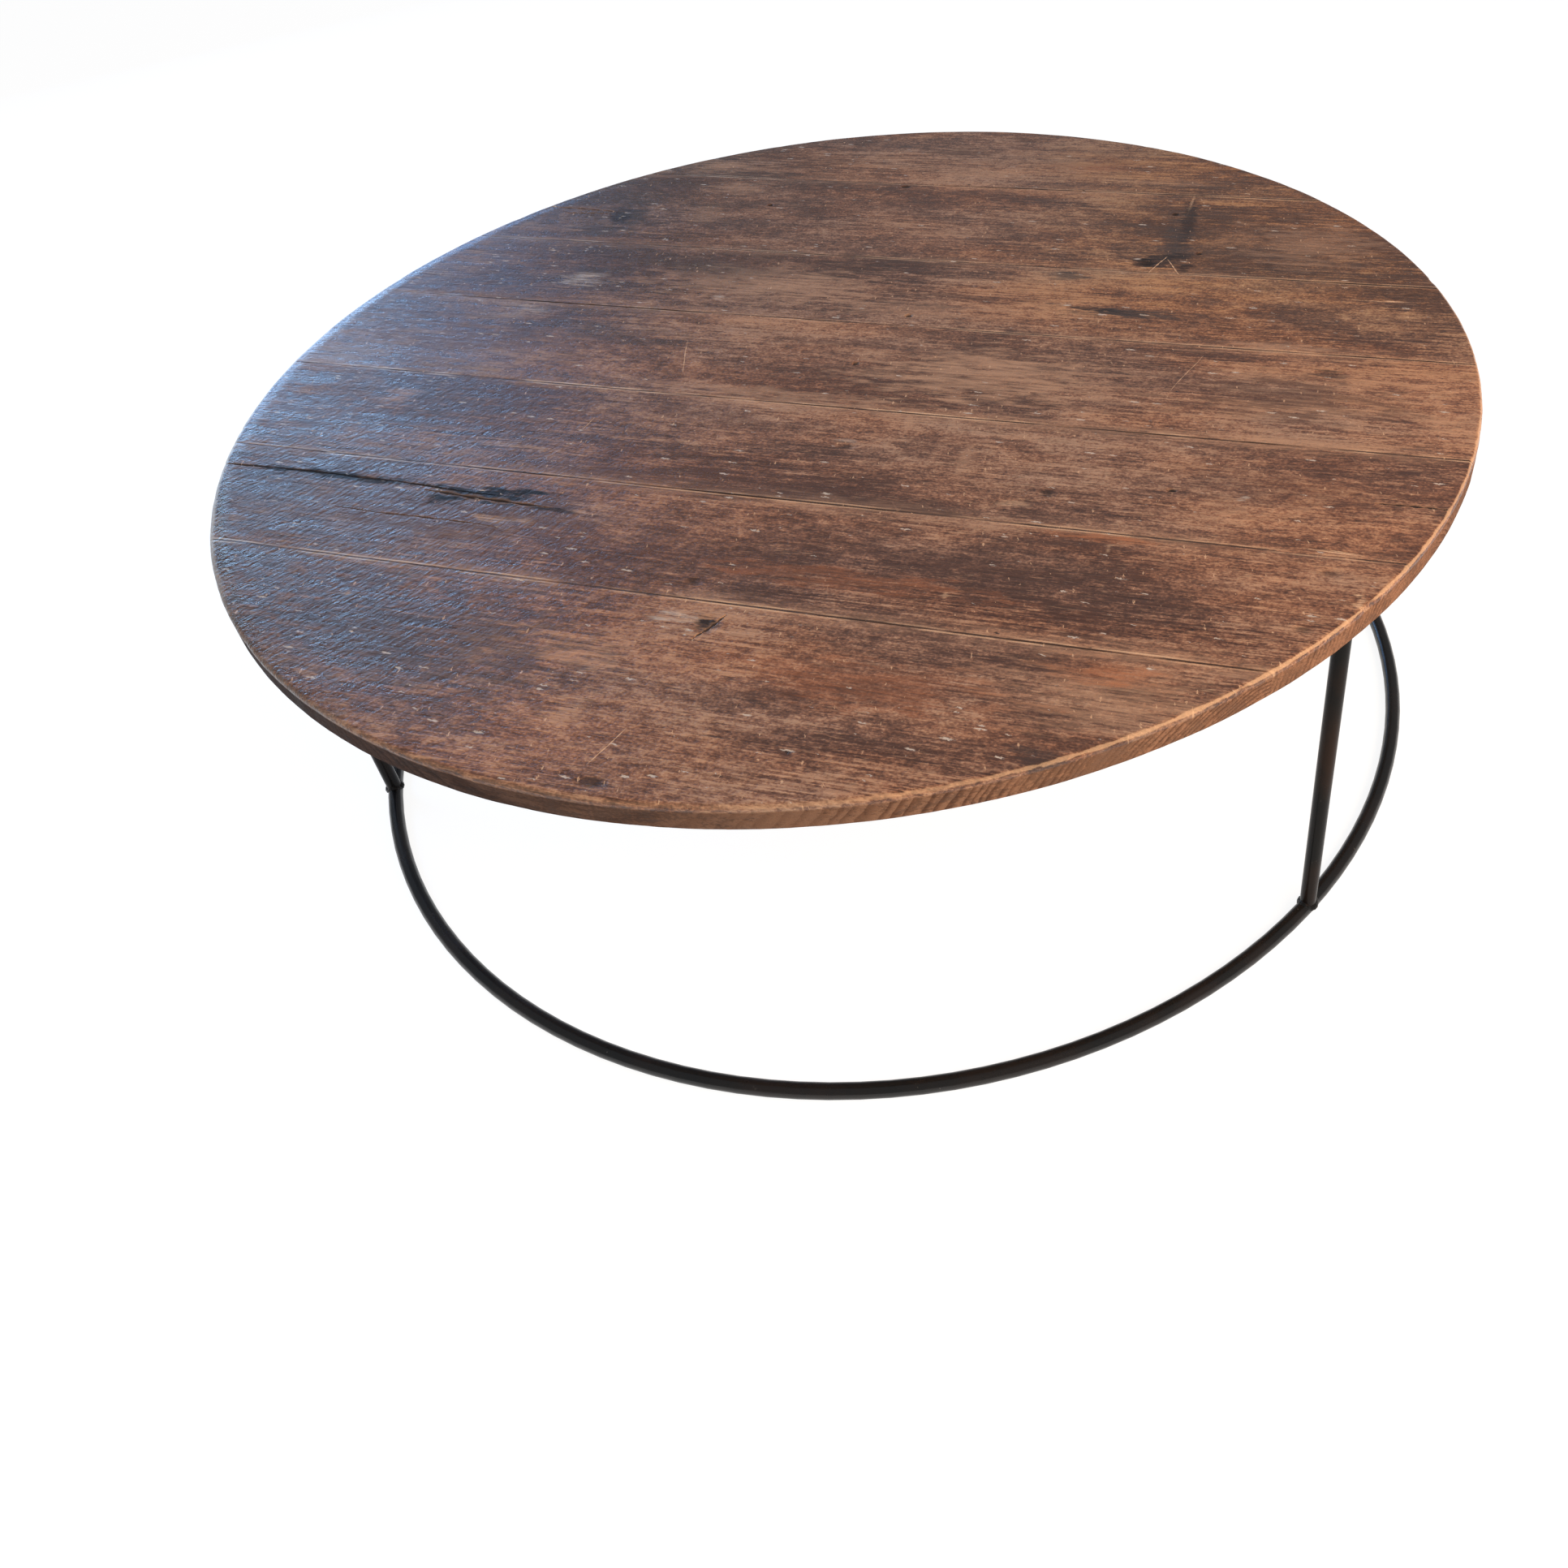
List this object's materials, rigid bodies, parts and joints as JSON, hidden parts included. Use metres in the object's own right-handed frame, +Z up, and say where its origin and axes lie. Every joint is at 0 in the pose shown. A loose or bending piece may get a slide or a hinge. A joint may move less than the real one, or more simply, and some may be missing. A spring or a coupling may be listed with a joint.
{
  "type": "round coffee table",
  "caption": "Low round coffee table: old boards joined edge to edge and sawn round, on a welded frame of black round bar that stands on a floor ring.",
  "frame": {"origin": "on the floor, under the middle of the round top", "axes": "+Z up, +X along the boards, +Y across them towards the rear leg"},
  "size_m": [1.0999, 1.0999, 0.37],
  "materials": {
    "old_boards": "dark waxed old wood with knots, cracks and worn arrises",
    "dowel_beech": "raw turned wood",
    "black_bar": "black satin lacquer on round bar",
    "zinc_fasteners": "zinc plated"
  },
  "bodies": {
    "root": {"board_1": "old_boards", "board_2": "old_boards", "board_3": "old_boards", "board_4": "old_boards", "board_5": "old_boards", "board_6": "old_boards", "board_7": "old_boards", "seam_1_dowels": "dowel_beech", "seam_2_dowels": "dowel_beech", "seam_3_dowels": "dowel_beech", "seam_4_dowels": "dowel_beech", "seam_5_dowels": "dowel_beech", "seam_6_dowels": "dowel_beech", "floor_ring": "black_bar", "upper_ring": "black_bar", "rear_leg": "black_bar", "left_leg": "black_bar", "right_leg": "black_bar", "foot_welds": "black_bar", "head_welds": "black_bar", "fixing_lug_1": "black_bar", "fixing_lug_2": "black_bar", "fixing_lug_3": "black_bar", "fixing_lug_4": "black_bar", "fixing_lug_5": "black_bar", "fixing_lug_6": "black_bar", "lug_welds": "black_bar", "lug_washers": "zinc_fasteners", "lug_screws": "zinc_fasteners"}
  },
  "joints": []
}
